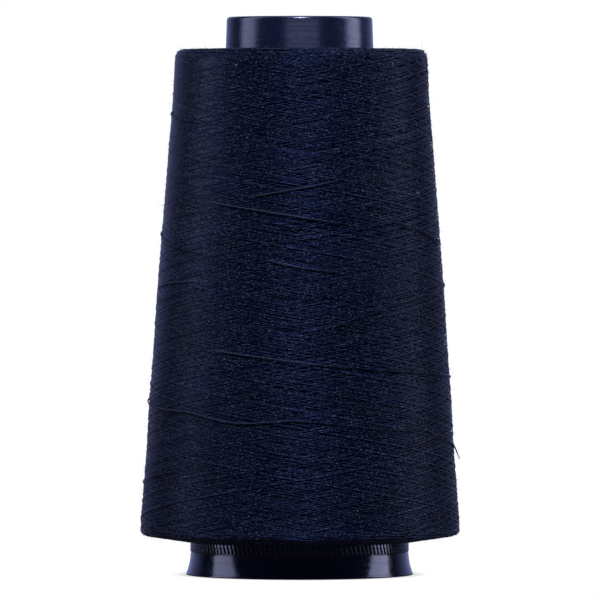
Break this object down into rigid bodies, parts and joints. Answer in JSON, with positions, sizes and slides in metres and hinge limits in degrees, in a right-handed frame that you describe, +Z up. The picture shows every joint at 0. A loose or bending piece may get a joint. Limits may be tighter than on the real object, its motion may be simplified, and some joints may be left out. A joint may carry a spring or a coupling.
{
  "type": "sewing thread cone",
  "caption": "Free-standing tapered plastic cone wound with fine dark navy sewing thread, for the thread stand of an overlock or quilting machine.",
  "frame": {"origin": "centre of the foot's flat face, where the cone stands", "axes": "+Z up along the cone's axis, from the foot to the nose; -Y is the front, where the thread's free end passes"},
  "size_m": [0.0716, 0.0716, 0.125],
  "materials": {
    "cone_plastic": "glossy injection-moulded polystyrene, midnight navy, nearly black",
    "sewing_thread": "matte dark navy spun polyester thread, cross-wound"
  },
  "bodies": {
    "root": {"cone_core": "cone_plastic", "thread_package": "sewing_thread", "loose_thread_end": "sewing_thread"}
  },
  "joints": []
}
